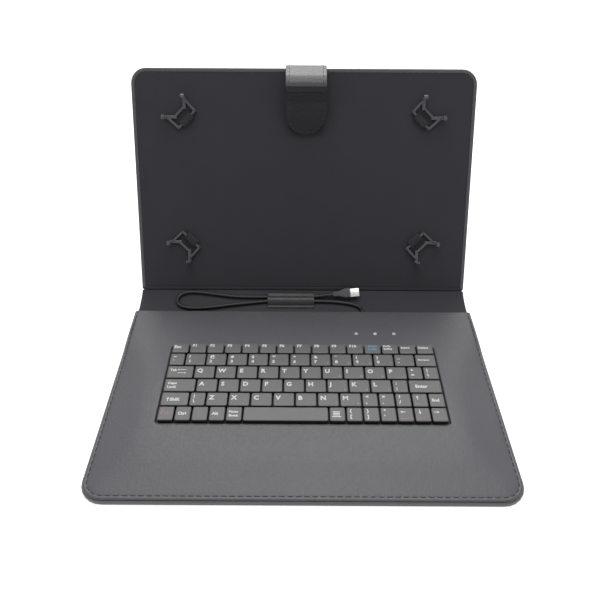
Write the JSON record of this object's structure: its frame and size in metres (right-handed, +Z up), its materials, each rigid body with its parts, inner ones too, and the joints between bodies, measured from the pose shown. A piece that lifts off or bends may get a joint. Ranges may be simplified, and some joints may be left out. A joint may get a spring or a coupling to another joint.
{
  "type": "tablet keyboard case",
  "caption": "Folding tablet case open on a table: flat keyboard panel, soft spine with a plugged cable, leaning lid with sprung corner hooks, rear prop leg and closure strap.",
  "frame": {"origin": "middle of the keyboard panel's underside, on the table", "axes": "+Z up, +Y away from the person typing, +X to their right"},
  "size_m": [0.27, 0.2897, 0.1729],
  "materials": {
    "pu_leather": "grained black imitation leather",
    "suede_lining": "short-napped dark grey lining",
    "stiff_board": "grey board",
    "foam": "soft open foam",
    "module_plastic": "black moulded plastic",
    "membrane_film": "clear printed film",
    "dome_rubber": "translucent silicone",
    "key_plastic": "dark grey matte keycap plastic",
    "circuit_board": "green circuit board",
    "light_lens": "milky light lens",
    "cable_rubber": "black cable jacket",
    "plug_metal": "plated steel",
    "hook_plastic": "dark grey moulded plastic",
    "elastic_fabric": "black woven elastic",
    "magnet_metal": "plated magnet steel"
  },
  "bodies": {
    "base": {"base_outer_skin": "pu_leather", "base_board": "stiff_board", "strap_keeper": "magnet_metal", "base_foam": "foam", "base_top_skin": "pu_leather", "keyboard_tray": "module_plastic", "switch_membrane": "membrane_film", "dome_sheet": "dome_rubber", "key_plate": "module_plastic", "controller_board": "circuit_board", "indicator_lights": "light_lens", "cable_gland": "cable_rubber"},
    "spine": {"spine_outer_skin": "pu_leather", "spine_lining": "suede_lining", "cable_loop": "suede_lining", "usb_cable": "cable_rubber", "usb_plug_grip": "cable_rubber", "usb_plug_shell": "plug_metal"},
    "lid": {"lid_outer_skin": "pu_leather", "lid_board": "stiff_board", "hook_panel": "stiff_board", "lid_lining": "suede_lining", "strap_root": "pu_leather", "hook_elastic_top_left": "elastic_fabric", "hook_elastic_top_right": "elastic_fabric", "hook_elastic_bottom_left": "elastic_fabric", "hook_elastic_bottom_right": "elastic_fabric"},
    "leg": {"leg_skin": "pu_leather", "leg_board": "stiff_board"},
    "strap_bridge_sheet": {"strap_bridge": "pu_leather"},
    "strap_tab_end": {"strap_tab": "pu_leather", "strap_magnet": "magnet_metal"},
    "corner_top_left": {"hook_top_left": "hook_plastic"},
    "corner_top_right": {"hook_top_right": "hook_plastic"},
    "corner_bottom_left": {"hook_bottom_left": "hook_plastic"},
    "corner_bottom_right": {"hook_bottom_right": "hook_plastic"},
    "cap_key_escape": {"key_escape": "key_plastic"},
    "cap_keys_function_row": {"keys_function_row": "key_plastic"},
    "cap_key_delete": {"key_delete": "key_plastic"},
    "cap_keys_number_row": {"keys_number_row": "key_plastic"},
    "cap_key_backspace": {"key_backspace": "key_plastic"},
    "cap_key_tab": {"key_tab": "key_plastic"},
    "cap_keys_upper_letters": {"keys_upper_letters": "key_plastic"},
    "cap_key_caps_lock": {"key_caps_lock": "key_plastic"},
    "cap_keys_middle_letters": {"keys_middle_letters": "key_plastic"},
    "cap_key_enter": {"key_enter": "key_plastic"},
    "cap_key_shift": {"key_shift": "key_plastic"},
    "cap_keys_lower_letters": {"keys_lower_letters": "key_plastic"},
    "cap_key_up": {"key_up": "key_plastic"},
    "cap_key_end": {"key_end": "key_plastic"},
    "cap_key_fn": {"key_fn": "key_plastic"},
    "cap_key_control": {"key_control": "key_plastic"},
    "cap_key_home_screen": {"key_home_screen": "key_plastic"},
    "cap_key_alt": {"key_alt": "key_plastic"},
    "cap_keys_front_row": {"keys_front_row": "key_plastic"},
    "cap_key_space": {"key_space": "key_plastic"},
    "cap_key_left": {"key_left": "key_plastic"},
    "cap_key_down": {"key_down": "key_plastic"},
    "cap_key_right": {"key_right": "key_plastic"}
  },
  "joints": [
    {"name": "cover_spine_fold", "type": "hinge", "parent": "base", "child": "spine", "pos_m": [0, 0.0915, 0.0006], "axis": [1, 0, 0], "range_deg": [-7.84, 82.16], "deforming": ["spine_lining", "usb_cable"]},
    {"name": "cover_lid_fold", "type": "hinge", "parent": "spine", "child": "lid", "pos_m": [0, 0.11932, 0.00443], "axis": [1, 0, 0], "range_deg": [-58.16, 31.84], "deforming": ["spine_lining"]},
    {"name": "kickstand_swing", "type": "hinge", "parent": "lid", "child": "leg", "pos_m": [0, 0.17281, 0.12456], "axis": [1, 0, 0], "range_deg": [-36.59, 0]},
    {"name": "closure_bridge_fold", "type": "hinge", "parent": "lid", "child": "strap_bridge_sheet", "pos_m": [0.0016, 0.19365, 0.16794], "axis": [-1, 0, 0], "range_deg": [0, 180]},
    {"name": "closure_tab_fold", "type": "hinge", "parent": "strap_bridge_sheet", "child": "strap_tab_end", "pos_m": [0.0016, 0.16566, 0.16234], "axis": [-1, 0, 0], "range_deg": [0, 90]},
    {"name": "hook_top_left_stretch", "type": "slide", "parent": "lid", "child": "corner_top_left", "axis": [-0.7071, 0.2876, 0.646], "range_m": [0, 0.02], "stiffness_N_per_m": 120, "deforming": ["hook_elastic_top_left"]},
    {"name": "hook_top_right_stretch", "type": "slide", "parent": "lid", "child": "corner_top_right", "axis": [0.7071, 0.2876, 0.646], "range_m": [0, 0.02], "stiffness_N_per_m": 120, "deforming": ["hook_elastic_top_right"]},
    {"name": "hook_bottom_left_stretch", "type": "slide", "parent": "lid", "child": "corner_bottom_left", "axis": [-0.7071, -0.2876, -0.646], "range_m": [0, 0.02], "stiffness_N_per_m": 120, "deforming": ["hook_elastic_bottom_left"]},
    {"name": "hook_bottom_right_stretch", "type": "slide", "parent": "lid", "child": "corner_bottom_right", "axis": [0.7071, -0.2876, -0.646], "range_m": [0, 0.02], "stiffness_N_per_m": 120, "deforming": ["hook_elastic_bottom_right"]},
    {"name": "press_key_escape", "type": "slide", "parent": "base", "child": "cap_key_escape", "axis": [0, 0, -1], "range_m": [0, 0.0016], "stiffness_N_per_m": 350, "deforming": ["dome_sheet"]},
    {"name": "press_keys_function_row", "type": "slide", "parent": "base", "child": "cap_keys_function_row", "axis": [0, 0, -1], "range_m": [0, 0.0016], "stiffness_N_per_m": 1750, "deforming": ["dome_sheet"]},
    {"name": "press_key_delete", "type": "slide", "parent": "base", "child": "cap_key_delete", "axis": [0, 0, -1], "range_m": [0, 0.0016], "stiffness_N_per_m": 350, "deforming": ["dome_sheet"]},
    {"name": "press_keys_number_row", "type": "slide", "parent": "base", "child": "cap_keys_number_row", "axis": [0, 0, -1], "range_m": [0, 0.0016], "stiffness_N_per_m": 1750, "deforming": ["dome_sheet"]},
    {"name": "press_key_backspace", "type": "slide", "parent": "base", "child": "cap_key_backspace", "axis": [0, 0, -1], "range_m": [0, 0.0016], "stiffness_N_per_m": 350, "deforming": ["dome_sheet"]},
    {"name": "press_key_tab", "type": "slide", "parent": "base", "child": "cap_key_tab", "axis": [0, 0, -1], "range_m": [0, 0.0016], "stiffness_N_per_m": 350, "deforming": ["dome_sheet"]},
    {"name": "press_keys_upper_letters", "type": "slide", "parent": "base", "child": "cap_keys_upper_letters", "axis": [0, 0, -1], "range_m": [0, 0.0016], "stiffness_N_per_m": 1750, "deforming": ["dome_sheet"]},
    {"name": "press_key_caps_lock", "type": "slide", "parent": "base", "child": "cap_key_caps_lock", "axis": [0, 0, -1], "range_m": [0, 0.0016], "stiffness_N_per_m": 350, "deforming": ["dome_sheet"]},
    {"name": "press_keys_middle_letters", "type": "slide", "parent": "base", "child": "cap_keys_middle_letters", "axis": [0, 0, -1], "range_m": [0, 0.0016], "stiffness_N_per_m": 1750, "deforming": ["dome_sheet"]},
    {"name": "press_key_enter", "type": "slide", "parent": "base", "child": "cap_key_enter", "axis": [0, 0, -1], "range_m": [0, 0.0016], "stiffness_N_per_m": 350, "deforming": ["dome_sheet"]},
    {"name": "press_key_shift", "type": "slide", "parent": "base", "child": "cap_key_shift", "axis": [0, 0, -1], "range_m": [0, 0.0016], "stiffness_N_per_m": 350, "deforming": ["dome_sheet"]},
    {"name": "press_keys_lower_letters", "type": "slide", "parent": "base", "child": "cap_keys_lower_letters", "axis": [0, 0, -1], "range_m": [0, 0.0016], "stiffness_N_per_m": 1750, "deforming": ["dome_sheet"]},
    {"name": "press_key_up", "type": "slide", "parent": "base", "child": "cap_key_up", "axis": [0, 0, -1], "range_m": [0, 0.0016], "stiffness_N_per_m": 350, "deforming": ["dome_sheet"]},
    {"name": "press_key_end", "type": "slide", "parent": "base", "child": "cap_key_end", "axis": [0, 0, -1], "range_m": [0, 0.0016], "stiffness_N_per_m": 350, "deforming": ["dome_sheet"]},
    {"name": "press_key_fn", "type": "slide", "parent": "base", "child": "cap_key_fn", "axis": [0, 0, -1], "range_m": [0, 0.0016], "stiffness_N_per_m": 350, "deforming": ["dome_sheet"]},
    {"name": "press_key_control", "type": "slide", "parent": "base", "child": "cap_key_control", "axis": [0, 0, -1], "range_m": [0, 0.0016], "stiffness_N_per_m": 350, "deforming": ["dome_sheet"]},
    {"name": "press_key_home_screen", "type": "slide", "parent": "base", "child": "cap_key_home_screen", "axis": [0, 0, -1], "range_m": [0, 0.0016], "stiffness_N_per_m": 350, "deforming": ["dome_sheet"]},
    {"name": "press_key_alt", "type": "slide", "parent": "base", "child": "cap_key_alt", "axis": [0, 0, -1], "range_m": [0, 0.0016], "stiffness_N_per_m": 350, "deforming": ["dome_sheet"]},
    {"name": "press_keys_front_row", "type": "slide", "parent": "base", "child": "cap_keys_front_row", "axis": [0, 0, -1], "range_m": [0, 0.0016], "stiffness_N_per_m": 1750, "deforming": ["dome_sheet"]},
    {"name": "press_key_space", "type": "slide", "parent": "base", "child": "cap_key_space", "axis": [0, 0, -1], "range_m": [0, 0.0016], "stiffness_N_per_m": 350, "deforming": ["dome_sheet"]},
    {"name": "press_key_left", "type": "slide", "parent": "base", "child": "cap_key_left", "axis": [0, 0, -1], "range_m": [0, 0.0016], "stiffness_N_per_m": 350, "deforming": ["dome_sheet"]},
    {"name": "press_key_down", "type": "slide", "parent": "base", "child": "cap_key_down", "axis": [0, 0, -1], "range_m": [0, 0.0016], "stiffness_N_per_m": 350, "deforming": ["dome_sheet"]},
    {"name": "press_key_right", "type": "slide", "parent": "base", "child": "cap_key_right", "axis": [0, 0, -1], "range_m": [0, 0.0016], "stiffness_N_per_m": 350, "deforming": ["dome_sheet"]}
  ]
}
